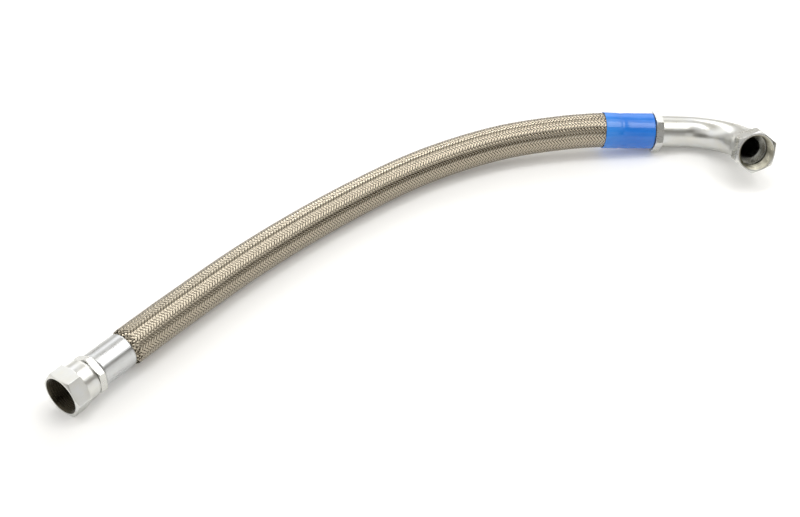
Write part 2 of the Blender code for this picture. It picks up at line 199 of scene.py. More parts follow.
# Lamps: name, place, target, direction of the long side, size, share of the lamp power, beam in degrees
LAMPS = (
    ("overhead_strip", (0.41, -0.02, 1.5), (0.38, -0.05, 0.0), (0.9, -0.43, 0.0), (1.2, 0.3), 1.2, 180),
    ("far_strip", (1.22, 0.72, 0.72), (0.37, -0.05, 0.0), (0.53, -0.73, 0.42), (1.1, 0.16), 0.8, 180),
    ("right_softbox", (1.1, -0.75, 1.1), (0.62, -0.2, 0.0), (0.79, 0.62, 0.0), (0.9, 0.9), 0.6, 180),
    ("elbow_card", (0.69, -0.81, 1.25), (0.62, -0.18, 0.02), (0.446, 0.4, 0.22), (0.8, 0.25), 0.42, 180),
    ("front_card", (0.29, -0.62, 0.12), (0.0, 0.0, 0.02), (0.9, 0.42, 0.0), (0.22, 0.16), 0.0048, 70),
)

# Floor, in metres, and its glow
FLOOR_CENTRE = (0.3, -0.1, -0.0003)
FLOOR_RINGS = (0.0, 0.12, 6.0)
FLOOR_SIDES = 64
FLOOR_GLOW = 0.14

# Fineness of the meshes
SECTOR_ANGLES = (0, 6, 12, 17, 21, 24, 26, 27.5, 28.5, 29.2, 29.7)
THREAD_STEPS = 10
TUBE_SIDES = 72
LEAD_STEPS = 12
BEND_STEPS = 48
ROUTE_SAMPLES = 60
LAYER_STEPS = 240
CROSSING_STEPS = 2

# Largest share of a side that a rounded corner takes
CORNER_SHARE = 0.45

# Sockets of a Mix node that mixes colours
MIX_SHARE = 0
MIX_FIRST = 6
MIX_SECOND = 7
MIX_RESULT = 2

# What every colour setting shares
COLOUR = {"subtype": "COLOR", "min": 0, "max": 1}


# Shapes


def placement(origin, axis, turn=0.0):
    """Matrix whose Z is axis and whose X points as far up as it can, turned about that axis."""
    z = Vector(axis).normalized()
    x = (Vector((0, 0, 1)) - z * z.z).normalized()
    upright = Matrix((x, z.cross(x), z)).transposed().to_4x4()
    return Matrix.Translation(origin) @ upright @ Matrix.Rotation(turn, 4, "Z")


def swivel_joint(name):
    """Place and axis of a swivel nut's mouth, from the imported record."""
    for joint in frame["record"]["behaviour"]["joints"]:
        if joint["name"] == name:
            return Vector(joint["pos_m"]), Vector(joint["axis"])
    raise KeyError(name)


def elbow_way():
    level = math.cos(ELBOW_SLOPE)
    return Vector((math.cos(ELBOW_HEADING) * level, math.sin(ELBOW_HEADING) * level, math.sin(ELBOW_SLOPE)))


def straight_frame():
    return placement(*swivel_joint("straight_nut_swivel"))


def elbow_frame():
    return placement(ELBOW_COLLAR_POINT, elbow_way())


def outlet_frame():
    return placement(*swivel_joint("elbow_nut_swivel"))


def skin(name, points, matrix=None, wrap_rows=True):
    """Smooth mesh object from rows of points; each row closes on itself, and the rows may close too.

    The points are local to the matrix, and the mesh keeps them as the coordinates of its finish."""
    rows, columns = points.shape[:2]
    index = np.arange(rows * columns, dtype=np.int32).reshape(rows, columns)
    if wrap_rows:
        index = np.vstack([index, index[:1]])
    right = np.roll(index, -1, axis=1)
    faces = np.stack([index[:-1], index[1:], right[1:], right[:-1]], axis=-1).reshape(-1, 4)
    local = points.reshape(-1, 3)
    placed = local if matrix is None else local @ np.array(matrix.to_3x3()).T + np.array(matrix.translation)
    made = mesh_object(name, placed, faces)
    made.data.attributes.new("local", "FLOAT_VECTOR", "POINT").data.foreach_set(
        "vector", np.asarray(local, np.float32).ravel()
    )
    return made


def mesh_object(name, points, faces):
    mesh = bpy.data.meshes.new(name)
    mesh.vertices.add(len(points))
    mesh.vertices.foreach_set("co", np.asarray(points, np.float32).ravel())
    mesh.loops.add(faces.size)
    mesh.loops.foreach_set("vertex_index", faces.astype(np.int32).ravel())
    mesh.polygons.add(len(faces))
    mesh.polygons.foreach_set("loop_start", np.arange(0, faces.size, faces.shape[1], dtype=np.int32))
    mesh.update(calc_edges=True)
    mesh.shade_smooth()
    made = bpy.data.objects.new(name, mesh)
    bpy.context.scene.collection.objects.link(made)
    return made


def soft_min(a, b, reach):
    """Smaller of two sizes, with a rounded change-over where they are within reach of each other."""
    near = np.maximum(reach - np.abs(a - b), 0) / reach
    return np.minimum(a, b) - near * near * reach / 4


def rounded(outline, size, steps=3):
    """Closed outline of (radius, depth) with each corner rounded off."""
    corners = [Vector(corner) for corner in outline]
    made = []
    for before, corner, after in zip([corners[-1], *corners], corners, [*corners[1:], corners[0]]):
        back = before - corner
        ahead = after - corner
        cut = min(size, CORNER_SHARE * back.length, CORNER_SHARE * ahead.length)
        start = corner + back.normalized() * cut
        stop = corner + ahead.normalized() * cut
        for i in range(steps + 1):
            t = i / steps
            made.append((1 - t) ** 2 * start + 2 * t * (1 - t) * corner + t * t * stop)
    return made


def spread(outline, step):
    """Outline with points added so that none are further apart than step."""
    made = []
    for start, stop in zip(outline, [*outline[1:], outline[0]]):
        count = max(1, math.ceil((stop - start).length / step))
        made += [start + (stop - start) * (i / count) for i in range(count)]
    return made


def nearest(outline, radius, depth):
    """Index of the point of an outline that lies nearest to a place."""
    return min(range(len(outline)), key=lambda i: (outline[i].x - radius) ** 2 + (outline[i].y - depth) ** 2)


def circle(count):
    """Angles spread evenly round a circle."""
    return np.linspace(0, math.tau, count, endpoint=False)


def rings(angles, first, second):
    """Circle of directions at each place, from the two directions that span it there."""
    return np.cos(angles)[None, :, None] * first[:, None] + np.sin(angles)[None, :, None] * second[:, None]


def hexagon_angles(turn=0.0):
    """Angles about an axis that lie close together near a hexagon's corners."""
    half = np.array(SECTOR_ANGLES, float)
    sector = np.concatenate([-half[:0:-1], half, [30.0]])
    return np.radians(np.concatenate([sector + 60 * i for i in range(6)])) + turn


def hexagon_radius(angles, across_flats, turn=0.0):
    """Distance from the axis to a hexagon's side at each angle, with its corners rounded."""
    sector = math.pi / 3
    off = np.abs(np.mod(angles - turn + sector / 2, sector) - sector / 2)
    half = across_flats / 2
    return soft_min(half / np.cos(off), half / np.cos(sector - off), reach=0.5)


def turned(name, rows, angles, matrix):
    """Object turned about local Z from rows of (radius at each angle, depth), in millimetres."""
    points = np.empty((len(rows), len(angles), 3))
    for i, (radius, depth) in enumerate(rows):
        points[i, :, 0] = radius * np.cos(angles)
        points[i, :, 1] = radius * np.sin(angles)
        points[i, :, 2] = -depth
    return skin(name, points * MM, matrix)


def ride(piece, body, slot, finish, *nodes):
    """Puts a finish on a piece, ties it to its body and hides the solids that it stands for."""
    piece.data.materials.append(finish)
    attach(piece, body)
    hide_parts(*nodes)


# Finishes


def new_finish(name):
    material = bpy.data.materials.new(name)
    material.use_nodes = True
    return material, material.node_tree, material.node_tree.nodes["Principled BSDF"]


def connect(tree, node, inputs):
    """Sets a node's inputs to values, or links them where a socket is given."""
    for socket, value in inputs.items():
        if isinstance(value, bpy.types.NodeSocket):
            tree.links.new(value, node.inputs[socket])
        else:
            node.inputs[socket].default_value = value


def add_node(tree, kind, inputs=None, **settings):
    made = tree.nodes.new("ShaderNode" + kind)
    for key, value in settings.items():
        setattr(made, key, value)
    connect(tree, made, inputs or {})
    return made


def own_place(tree):
    """Coordinates in the frame in which a piece was made."""
    return add_node(tree, "Attribute", attribute_name="local").outputs["Vector"]


def noise(tree, place, scale, detail, stretch=(1, 1, 1)):
    """Noise over a place that is stretched along its axes, as a number from 0 to 1."""
    moved = add_node(tree, "Mapping", {"Vector": place, "Scale": stretch})
    inputs = {"Vector": moved.outputs["Vector"], "Scale": scale, "Detail": detail, "Roughness": 0.55}
    return add_node(tree, "TexNoise", inputs).outputs["Fac"]


def mapped(tree, value, before, after, **settings):
    """Number taken from one range to another, and held at the ends outside it."""
    inputs = {"Value": value, "From Min": before[0], "From Max": before[1]}
    inputs |= {"To Min": after[0], "To Max": after[1]}
    return add_node(tree, "MapRange", inputs, **settings).outputs["Result"]


def graded(tree, value, low, high):
    """Noise, most of which lies between 0.3 and 0.7, taken to the range from low to high."""
    return mapped(tree, value, (0.3, 0.7), (low, high))


def blended(tree, share, first, second):
    """Colour between two colours, by a share from 0 to 1."""
    inputs = {MIX_SHARE: share, MIX_FIRST: first, MIX_SECOND: second}
    return add_node(tree, "Mix", inputs, data_type="RGBA").outputs[MIX_RESULT]


def maths(tree, operation, *values):
    return add_node(tree, "Math", dict(enumerate(values)), operation=operation).outputs["Value"]


def wave(tree, value, scale):
    return maths(tree, "SINE", maths(tree, "MULTIPLY", value, scale))


def relief(tree, shader, height, strength, distance):
    bump = add_node(tree, "Bump", {"Height": height, "Strength": strength, "Distance": distance})
    connect(tree, shader, {"Normal": bump.outputs["Normal"]})


def rgba(colour):
    return (*colour, 1.0)


def toned(colour, share):
    return [channel * share for channel in colour]


def zinc_finish(name, pale, warm, stretch, smooth, rough):
    """Bright zinc plate: clouded tint, streaks along the stretch, smudges and fine pits."""
    material, tree, shader = new_finish(name)
    place = own_place(tree)
    cloud = noise(tree, place, scale=70, detail=4)
    streak = noise(tree, place, scale=900, detail=3, stretch=stretch)
    pits = noise(tree, place, scale=2600, detail=2)
    tint = blended(tree, graded(tree, cloud, 0, 1), rgba(pale), rgba(warm))
    tint = blended(tree, graded(tree, streak, 0.25, 0.0), tint, rgba(toned(pale, share=0.8)))
    smudge = maths(tree, "MULTIPLY_ADD", streak, 0.5, maths(tree, "MULTIPLY", cloud, 0.5))
    roughness = graded(tree, smudge, smooth, rough)
    connect(tree, shader, {"Base Color": tint, "Roughness": roughness, "Metallic": 1.0})
    height = maths(tree, "MULTIPLY_ADD", pits, 0.4, streak)
    relief(tree, shader, height, strength=0.12, distance=0.00006)
    return material


def thread_finish(name, colour, wear):
    """Thread inside a nut, with worn crests and an oily sheen; its colour is painted shade or painted light.
    """
    material, tree, shader = new_finish(name)
    place = own_place(tree)
    film = noise(tree, place, scale=140, detail=4)
    scratch = noise(tree, place, scale=900, detail=3, stretch=(1, 1, 4))
    tint = blended(tree, graded(tree, scratch, 0, 1), rgba(colour), rgba(toned(colour, wear)))
    roughness = graded(tree, film, 0.22, 0.42)
    connect(tree, shader, {"Base Color": tint, "Roughness": roughness, "Metallic": 1.0})
    relief(tree, shader, scratch, strength=0.15, distance=0.00006)
    return material


def wire_finish(name, bright, dark):
    """Ribbons of fine stainless wire that shine across the wires; painted shade at edges and between wires.
    """
    material, tree, shader = new_finish(name)
    weave = add_node(tree, "UVMap", uv_map="weave").outputs["UV"]
    across = add_node(tree, "SeparateXYZ", {"Vector": weave}).outputs["X"]
    wires = maths(tree, "ABSOLUTE", wave(tree, across, WIRES_IN_RIBBON * math.pi))
    middle = wave(tree, across, math.pi)
    along = noise(tree, weave, scale=1.6, detail=3, stretch=(5, 0.25, 1))
    # Painted shade: each ribbon darkens towards its edges, where it meets the next
    painted_edge_shade = maths(tree, "MINIMUM", maths(tree, "MULTIPLY_ADD", middle, 1.5, 0.28), 1.0)
    shade = maths(tree, "MULTIPLY", graded(tree, along, 0.75, 1.0), painted_edge_shade)
    # Faint painted shade in the grooves between the single wires
    shade = maths(tree, "MULTIPLY", shade, maths(tree, "MULTIPLY_ADD", wires, 0.2, 0.8))
    tint = blended(tree, shade, rgba(dark), rgba(bright))
    tangent = add_node(tree, "Tangent", direction_type="UV_MAP", uv_map="weave")
    connect(tree, shader, {
        "Base Color": tint,
        "Roughness": graded(tree, along, 0.15, 0.22),
        "Metallic": 1.0,
        "Anisotropic": 0.5,
        "Tangent": tangent.outputs["Tangent"],
    })
    relief(tree, shader, wires, strength=0.2, distance=0.0001)
    return material


def plastic_finish(name, colour, pale):
    """Glossy blue film: paler towards its hose end, slight mottling, soft ripples and finger smudges."""
    material, tree, shader = new_finish(name)
    place = own_place(tree)
    depth = add_node(tree, "SeparateXYZ", {"Vector": place}).outputs["Z"]
    hose_end = mapped(tree, depth, (-FILM_PALE_START * MM, -FILM_PALE_END * MM), (0.0, 0.35))
    cloud = noise(tree, place, scale=60, detail=3, stretch=(1, 1, 0.5))
    ripple = noise(tree, place, scale=160, detail=2, stretch=(1, 1, 0.35))
    grain = noise(tree, place, scale=3000, detail=2)
    share = maths(tree, "ADD", graded(tree, cloud, 0.0, 0.35), hose_end)
    connect(tree, shader, {
        "Base Color": blended(tree, share, rgba(colour), rgba(pale)),
        "Roughness": graded(tree, cloud, 0.2, 0.3),
        "Specular IOR Level": 0.15,
        "Coat Weight": 0.85,
        "Coat Roughness": 0.06,
    })
    height = maths(tree, "MULTIPLY_ADD", grain, 0.03, ripple)
    relief(tree, shader, height, strength=0.1, distance=0.0006)
    return material


def yarn_finish(name, colour, dark):
    """Yarn braid under the wire: crossed diagonal yarns, with painted shade in the valleys between them."""
    material, tree, shader = new_finish(name)
    weave = add_node(tree, "UVMap", uv_map="weave").outputs["UV"]
    parts = add_node(tree, "SeparateXYZ", {"Vector": weave}).outputs
    right = wave(tree, maths(tree, "ADD", parts["X"], parts["Y"]), YARN_FINENESS)
    left = wave(tree, maths(tree, "SUBTRACT", parts["X"], parts["Y"]), YARN_FINENESS)
    fluff = noise(tree, weave, scale=120, detail=4)
    height = maths(tree, "MULTIPLY_ADD", fluff, 0.4, maths(tree, "MAXIMUM", right, left))
    # Painted shade: the low valleys between the yarns take the darker colour
    tint = blended(tree, graded(tree, height, 0.2, 1.0), rgba(dark), rgba(colour))
    connect(tree, shader, {"Base Color": tint, "Roughness": 0.9})
    relief(tree, shader, height, strength=0.8, distance=0.0002)
    return material


def rubber_finish(name, colour, bloom):
    """Smooth black rubber with a faint grey bloom."""
    material, tree, shader = new_finish(name)
    place = own_place(tree)
    cloud = noise(tree, place, scale=80, detail=4)
    grain = noise(tree, place, scale=1800, detail=3)
    tint = blended(tree, graded(tree, cloud, 0.0, 1.0), rgba(colour), rgba(bloom))
    connect(tree, shader, {"Base Color": tint, "Roughness": graded(tree, grain, 0.55, 0.75)})
    relief(tree, shader, grain, strength=0.3, distance=0.0001)
    return material


def floor_finish(name, colour):
    """White paper, faintly clouded, that glows only where it is seen, mirrored or seen through."""
    material, tree, shader = new_finish(name)
    cloud = noise(tree, own_place(tree), scale=3, detail=3)
    path = add_node(tree, "LightPath").outputs
    seen = maths(tree, "MAXIMUM", path["Is Camera Ray"], path["Is Glossy Ray"])
    seen = maths(tree, "MAXIMUM", seen, path["Is Transmission Ray"])
    shaded = rgba(toned(colour, share=0.98))
    connect(tree, shader, {
        "Base Color": blended(tree, graded(tree, cloud, 0, 1), rgba(colour), shaded),
        "Roughness": 0.9,
        "Specular IOR Level": 0.2,
        "Emission Color": (1, 1, 1, 1),
        "Emission Strength": maths(tree, "MULTIPLY", seen, FLOOR_GLOW),
    })
    return material


# Sizes and colours that a user would change


class HoseSettings(bpy.types.PropertyGroup):
    """Weave of the wire braid and the layers under it"""

    braid_diameter: FloatProperty(
        name="Braid diameter", description="Outside of the woven wire", default=0.0349, unit="LENGTH"
    )
    carriers: IntProperty(
        name="Carriers", description="Ribbons of wire round the hose, both ways together", default=48, min=8
    )
    lay_length: FloatProperty(
        name="Lay length", description="Length of one turn of a ribbon", default=0.079, unit="LENGTH"
    )
    ribbon_width: FloatProperty(
        name="Ribbon width", description="Width of one flat ribbon of wires", default=0.0026, unit="LENGTH"
    )
    ribbon_crown: FloatProperty(
        name="Ribbon crown", description="Rise of a ribbon's middle", default=0.00007, unit="LENGTH"
    )
    weave_depth: FloatProperty(
        name="Weave depth", description="Rise of a ribbon over crossings", default=0.00016, unit="LENGTH"
    )
    weave_turn: FloatProperty(
        name="Weave turn", description="Turn of the weave about the hose", default=-0.153, subtype="ANGLE"
    )
    wire_bright: FloatVectorProperty(
        name="Wire", description="Colour of clean wire", default=(0.49, 0.44, 0.348), **COLOUR
    )
    # Colour of the painted shade between the wires and at the ribbons' edges
    wire_dark: FloatVectorProperty(
        name="Wire shade", description="Colour between the wires", default=(0.17, 0.135, 0.095), **COLOUR
    )
    yarn: FloatVectorProperty(
        name="Yarn", description="Colour of the yarn layer", default=(0.30, 0.26, 0.19), **COLOUR
    )
    rubber: FloatVectorProperty(
        name="Rubber", description="Colour of the core", default=(0.018, 0.018, 0.018), **COLOUR
    )


class FittingSettings(bpy.types.PropertyGroup):
    """Nuts, stems, ferrules, sleeve and bent tube"""

    nut_across_flats: FloatProperty(
        name="Nut across flats", description="Wrench size of both swivel nuts", default=0.0381, unit="LENGTH"
    )
    thread_pitch: FloatProperty(
        name="Thread pitch", description="Distance from thread to thread", default=0.0254 / 12, unit="LENGTH"
    )
    thread_depth: FloatProperty(
        name="Thread depth", description="Depth of the thread in the nut", default=0.0011, unit="LENGTH"
    )
    crimp_dies: IntProperty(
        name="Crimp dies", description="Flats that the crimping dies left round a ferrule", default=8, min=3
    )
    crimp_depth: FloatProperty(
        name="Crimp depth", description="Depth of those flats", default=0.00018, unit="LENGTH"
    )
    zinc: FloatVectorProperty(
        name="Zinc", description="Colour of bright zinc plate", default=(0.72, 0.73, 0.73), **COLOUR
    )
    zinc_warm: FloatVectorProperty(
        name="Warm zinc", description="Colour of yellowed plate", default=(0.72, 0.71, 0.65), **COLOUR
    )
    # Near-black thread colour: painted shade inside the straight nut's mouth
    thread: FloatVectorProperty(
        name="Painted shade thread", description="Straight nut's thread", default=(0.030, 0.026, 0.018), **COLOUR
    )
    # Pale thread colour: painted light inside the elbow nut's mouth
    thread_painted_light: FloatVectorProperty(
        name="Painted light thread", description="Elbow nut's thread", default=(0.36, 0.345, 0.28), **COLOUR
    )
    sleeve: FloatVectorProperty(
        name="Sleeve", description="Colour of the blue film", default=(0.010, 0.172, 0.700), **COLOUR
    )
    sleeve_pale: FloatVectorProperty(
        name="Sleeve highlights", description="Colour of paler film", default=(0.060, 0.330, 0.900), **COLOUR
    )


class StageSettings(bpy.types.PropertyGroup):
    """Camera, floor and lights"""

    camera_place: FloatVectorProperty(
        name="Camera", description="Where it is", default=(-0.5591, -0.7928, 0.9373), subtype="TRANSLATION"
    )
    camera_target: FloatVectorProperty(
        name="Target", description="What it looks at", default=(0.3259, -0.0971, 0.0), subtype="TRANSLATION"
    )
    lens: FloatProperty(
        name="Lens", description="Focal length on a 36 mm frame", default=70.065, unit="CAMERA"
    )
    floor: FloatVectorProperty(
        name="Floor", description="Colour of the floor", default=(0.93, 0.925, 0.91), **COLOUR
    )
    room_strength: FloatProperty(
        name="Room light", description="Strength of the light from the room", default=1.7
    )
    lamp_watts: FloatProperty(
        name="Lamp power", description="Power of a lamp whose share is 1", default=4.2, unit="POWER"
    )


# Pieces and stage, the functions of each before its operator


def make_camera(context, settings):
    data = bpy.data.cameras.new("photo_camera")
    data.sensor_fit = "HORIZONTAL"
    data.sensor_width = 36.0
    data.lens = settings.lens
    data.clip_start = 0.01
    camera = bpy.data.objects.new("photo_camera", data)
    context.scene.collection.objects.link(camera)
    camera.location = settings.camera_place
    look = Vector(settings.camera_target) - Vector(settings.camera_place)
    camera.rotation_euler = look.to_track_quat("-Z", "Y").to_euler()
    context.scene.camera = camera


def make_floor(settings):
    angles = circle(FLOOR_SIDES)
    points = [[(r * math.cos(a), r * math.sin(a), 0.0) for a in angles] for r in FLOOR_RINGS]
    floor = skin("floor", np.array(points) + np.array(FLOOR_CENTRE), wrap_rows=False)
    floor.data.materials.append(floor_finish("floor_paper", settings.floor))


def make_world(context, settings):
    world = bpy.data.worlds.new("studio")
    world.use_nodes = True
    context.scene.world = world
    tree = world.node_tree
    tree.nodes.clear()
    way = add_node(tree, "TexCoord").outputs["Generated"]
    height = add_node(tree, "SeparateXYZ", {"Vector": way}).outputs["Z"]
    front = cosine_to(tree, way, FRONT_DIRECTION)
    side = smooth_step(tree, front, -FRONT_CHANGE, FRONT_CHANGE)
    room = blended(tree, side, room_wall(tree, height, FAR_WALL), room_wall(tree, height, FRONT_WALL))
    for direction, inner, outer, grey in ROOM_PATCHES:
        near = cosine_to(tree, way, Vector(direction).normalized())
        share = smooth_step(tree, near, math.cos(math.radians(outer)), math.cos(math.radians(inner)))
        room = blended(tree, share, room, room_colour(grey))
    lit = add_node(tree, "Background", {"Color": room, "Strength": settings.room_strength})
    add_node(tree, "OutputWorld", {"Surface": lit.outputs[0]})


def cosine_to(tree, way, direction):
    """Cosine of the angle between a way and a direction."""
    inputs = {0: way, 1: direction}
    return add_node(tree, "VectorMath", inputs, operation="DOT_PRODUCT").outputs["Value"]


def room_colour(grey):
    """Room colour of one brightness: the darker, the warmer."""
    warm = max(0.0, 1.0 - 2.0 * grey)
    return rgba([grey * (1 - loss * warm) for loss in ROOM_WARMTH])


def room_wall(tree, height, stops):
    """Brightness of one side of the room, by the sine of the height above the floor."""
    made = add_node(tree, "ValToRGB", {"Fac": height})
    ramp = made.color_ramp
    while len(ramp.elements) < len(stops):
        ramp.elements.new(0.5)
    for element, (place, grey) in zip(ramp.elements, stops):
        element.position = place
        element.color = room_colour(grey)
    return made.outputs["Color"]


def smooth_step(tree, value, low, high):
    """Smooth change from 0 at low to 1 at high."""
    return mapped(tree, value, (low, high), (0.0, 1.0), interpolation_type="SMOOTHSTEP")


def make_lamp(name, place, target, along, size):
    """Soft lamp at a place, shining at a target, its long side lying along a direction."""
    data = bpy.data.lights.new(name, "AREA")
    data.shape = "RECTANGLE"
    data.size, data.size_y = size
    lamp = bpy.data.objects.new(name, data)
    lamp.visible_camera = False
    bpy.context.scene.collection.objects.link(lamp)
    back = (Vector(place) - Vector(target)).normalized()
    across = (Vector(along) - back * back.dot(Vector(along))).normalized()
    turn = Matrix((across, back.cross(across), back)).transposed()
    lamp.matrix_world = Matrix.Translation(place) @ turn.to_4x4()
    return lamp


class SUPPLY_OT_stage(bpy.types.Operator):
    """Makes the camera, the floor and the soft lights"""

    bl_idname = "supply.stage"
    bl_label = "Stage"

    def execute(self, context):
        settings = context.scene.supply_stage
        make_camera(context, settings)
        make_floor(settings)
        make_world(context, settings)
        for name, place, target, along, size, share, beam in LAMPS:
            lamp = make_lamp(name, place, target, along, size)
            lamp.data.energy = settings.lamp_watts * share
            lamp.data.spread = math.radians(beam)
        context.scene.view_settings.view_transform = "Standard"
        return {"FINISHED"}


class HoseLine:
    """Centre line of the hose from cut end to cut end, with a frame at each point."""

    def __init__(self):
        face, way = swivel_joint("straight_nut_swivel")
        ahead = -way
        leaving = elbow_way()
        under = (FERRULE_MOUTH - HOSE_CUT) * MM
        self.start_mouth = face + ahead * (STRAIGHT_COLLAR_BACK + FERRULE_MOUTH) * MM
        self.end_mouth = ELBOW_COLLAR_POINT - leaving * FERRULE_MOUTH * MM
        start_free = self.start_mouth + ahead * CRIMP_TAPER * MM
        end_free = self.end_mouth - leaving * CRIMP_TAPER * MM
        past_sleeve = self.end_mouth - leaving * (SLEEVE_BACK - FERRULE_MOUTH + SLEEVE_RUN_OUT) * MM
        route = [Vector(place) for place in HOSE_ROUTE]
        places = [self.start_mouth - ahead * under, self.start_mouth]
        places += self.smooth([self.start_mouth, start_free, *route, past_sleeve, end_free])
        places += [end_free, self.end_mouth, self.end_mouth + leaving * under]
        self.places = np.array(places)
        gaps = np.linalg.norm(np.diff(self.places, axis=0), axis=1)
        self.reach = np.concatenate([[0], np.cumsum(gaps)])
        self.length = self.reach[-1]
        self.mouths = (under, self.length - under)

    def smooth(self, knots):
        """Points on a smooth curve through the knots, from the second to the last but one."""
        made = []
        for before, start, stop, after in zip(knots, knots[1:], knots[2:], knots[3:]):
            reach = math.sqrt((stop - start).length)
            back = math.sqrt((start - before).length)
            ahead = math.sqrt((after - stop).length)
            leave = stop - start + reach * ((start - before) / back - (stop - before) / (back + reach))
            arrive = stop - start + reach * ((after - stop) / ahead - (after - start) / (reach + ahead))
            for i in range(ROUTE_SAMPLES):
                t = i / ROUTE_SAMPLES
                made.append(
                    (2 * t**3 - 3 * t**2 + 1) * start
                    + (t**3 - 2 * t**2 + t) * leave
                    + (3 * t**2 - 2 * t**3) * stop
                    + (t**3 - t**2) * arrive
                )
        return [*made, knots[-2]]

    def place(self, reach):
        return np.stack([np.interp(reach, self.reach, axis) for axis in self.places.T], axis=1)

    def at(self, reach):
        """Centre, direction, up and side at each distance along the hose."""
        step = 2 * MM
        way = self.place(reach + step) - self.place(reach - step)
        way /= np.linalg.norm(way, axis=1)[:, None]
        up = np.array((0, 0, 1.0)) - way * way[:, 2:3]
        up /= np.linalg.norm(up, axis=1)[:, None]
        return self.place(reach), way, up, np.cross(way, up)

    def necked(self, reach, crimped, free):
        """Radius along the hose: crimped under both ferrules, widening to free outside them."""
        inside = np.minimum(reach - self.mouths[0], self.mouths[1] - reach) / (CRIMP_TAPER * MM)
        t = np.clip(inside, 0, 1)
        return crimped + (free - crimped) * t * t * (3 - 2 * t)


def woven_ribbons(name, line, settings, sense):
    """All ribbons that wind one way: two over, two under the ribbons that wind the other way."""
    each_way = settings.carriers // 2
    crossing = settings.lay_length / settings.carriers
    count = math.ceil(line.length / crossing * CROSSING_STEPS)
    reach = np.linspace(0, line.length, count)
    centre, way, up, side = line.at(reach)
    top = settings.braid_diameter / 2 - settings.weave_depth - settings.ribbon_crown
    radius = line.necked(reach, top - BRAID_CRIMP * MM, top)
    lean = (sense * math.tau * radius / settings.lay_length)[:, None]
    columns = len(RIBBON_SECTION)
    points = np.empty((each_way, count, columns, 3))
    coords = np.empty((each_way, count, columns, 2))
    for i in range(each_way):
        angle = sense * math.tau * reach / settings.lay_length + math.tau * i / each_way
        crossings = angle * settings.carriers / math.tau
        swing = np.cos(math.pi / 2 * (crossings - 0.5))
        lift = np.tanh(RIBBON_FLATNESS * swing) / math.tanh(RIBBON_FLATNESS)
        turn = (angle + settings.weave_turn)[:, None]
        out = up * np.cos(turn) + side * np.sin(turn)
        slant = way + np.cross(way, out) * lean
        slant /= np.linalg.norm(slant, axis=1)[:, None]
        wide = np.cross(out, slant)
        middle = centre + out * (radius + sense * settings.weave_depth * lift)[:, None]
        for k, (across, crown) in enumerate(RIBBON_SECTION):
            aside = wide * (across * settings.ribbon_width / 2)
            points[i, :, k] = middle + aside + out * (crown * settings.ribbon_crown)
            coords[i, :, k, 0] = (across + 1) / 2
            coords[i, :, k, 1] = reach / settings.ribbon_width * WIRE_GRAIN + WIRE_GRAIN_OFFSET * i
        for end in (0, -1):
            points[i, end] = points[i, end].mean(axis=0)
    index = np.arange(each_way * count * columns).reshape(each_way, count, columns)
    right = np.roll(index, -1, axis=2)
    faces = np.stack([index[:, :-1], right[:, :-1], right[:, 1:], index[:, 1:]], axis=-1).reshape(-1, 4)
    made = mesh_object(name, points.reshape(-1, 3), faces)
    lay_pattern(made.data, coords, faces.ravel())
    return made


def hose_layer(name, line, crimped, free):
    """Plain tube of one layer, crimped under the ferrules, each radius outer then inner."""
    reach = np.linspace(0, line.length, LAYER_STEPS)
    centre, _, up, side = line.at(reach)
    angles = circle(TUBE_SIDES)
    ring = rings(angles, up, side)
    walls = []
    for narrow, wide in zip(crimped, free):
        radius = line.necked(reach, narrow * MM, wide * MM)
        walls.append(centre[:, None] + ring * radius[:, None, None])
    made = skin(name, np.concatenate([walls[0], walls[1][::-1]]))
    coords = np.empty((2 * len(reach), TUBE_SIDES, 2))
    coords[:, :, 0] = angles / math.tau
    coords[:, :, 1] = np.concatenate([reach, reach[::-1]])[:, None] * YARN_PATTERN
    corners = np.empty(len(made.data.loops), np.int32)
    made.data.loops.foreach_get("vertex_index", corners)
    lay_pattern(made.data, coords, corners)
    return made


def lay_pattern(mesh, coords, corners):
    """Gives a mesh the places of its pattern, from those of its points."""
    flat = coords.reshape(-1, 2)[corners].astype(np.float32).ravel()
    mesh.uv_layers.new(name="weave").data.foreach_set("uv", flat)


class SUPPLY_OT_hose(bpy.types.Operator):
    """Weaves the wire braid round the hose's route and puts the yarn and rubber layers inside it"""

    bl_idname = "supply.hose"
    bl_label = "Braided hose"

    def execute(self, context):
        settings = context.scene.supply_hose
        line = HoseLine()
        wire = wire_finish("braid_wire", settings.wire_bright, settings.wire_dark)
        right = woven_ribbons("braid_right_lay", line, settings, 1)
        left = woven_ribbons("braid_left_lay", line, settings, -1)
        ride(right, "line", "braid_wire", wire, "wire_braid")
        ride(left, "line", "braid_wire", wire, "wire_braid")
        yarn = hose_layer("yarn_ply", line, YARN_CRIMPED, YARN_FREE)
        # Half-bright yarn colour for the painted shade between the yarns
        finish = yarn_finish("textile_yarn", settings.yarn, toned(settings.yarn, share=0.5))
        ride(yarn, "line", "textile_yarn", finish, "textile_ply")
        core = hose_layer("rubber_core", line, CORE_CRIMPED, CORE_FREE)
        finish = rubber_finish("core_rubber", settings.rubber, toned(settings.rubber, share=2.2))
        ride(core, "line", "core_rubber", finish, "hose_core")
        return {"FINISHED"}


def line_nut_mouth(nut, thread, first):
    """Gives the faces inside the nut, from the first one on, the thread's finish."""
    nut.data.materials.append(thread)
    kinds = np.zeros(len(nut.data.polygons), np.int32)
    kinds[first:] = 1
    nut.data.polygons.foreach_set("material_index", kinds)


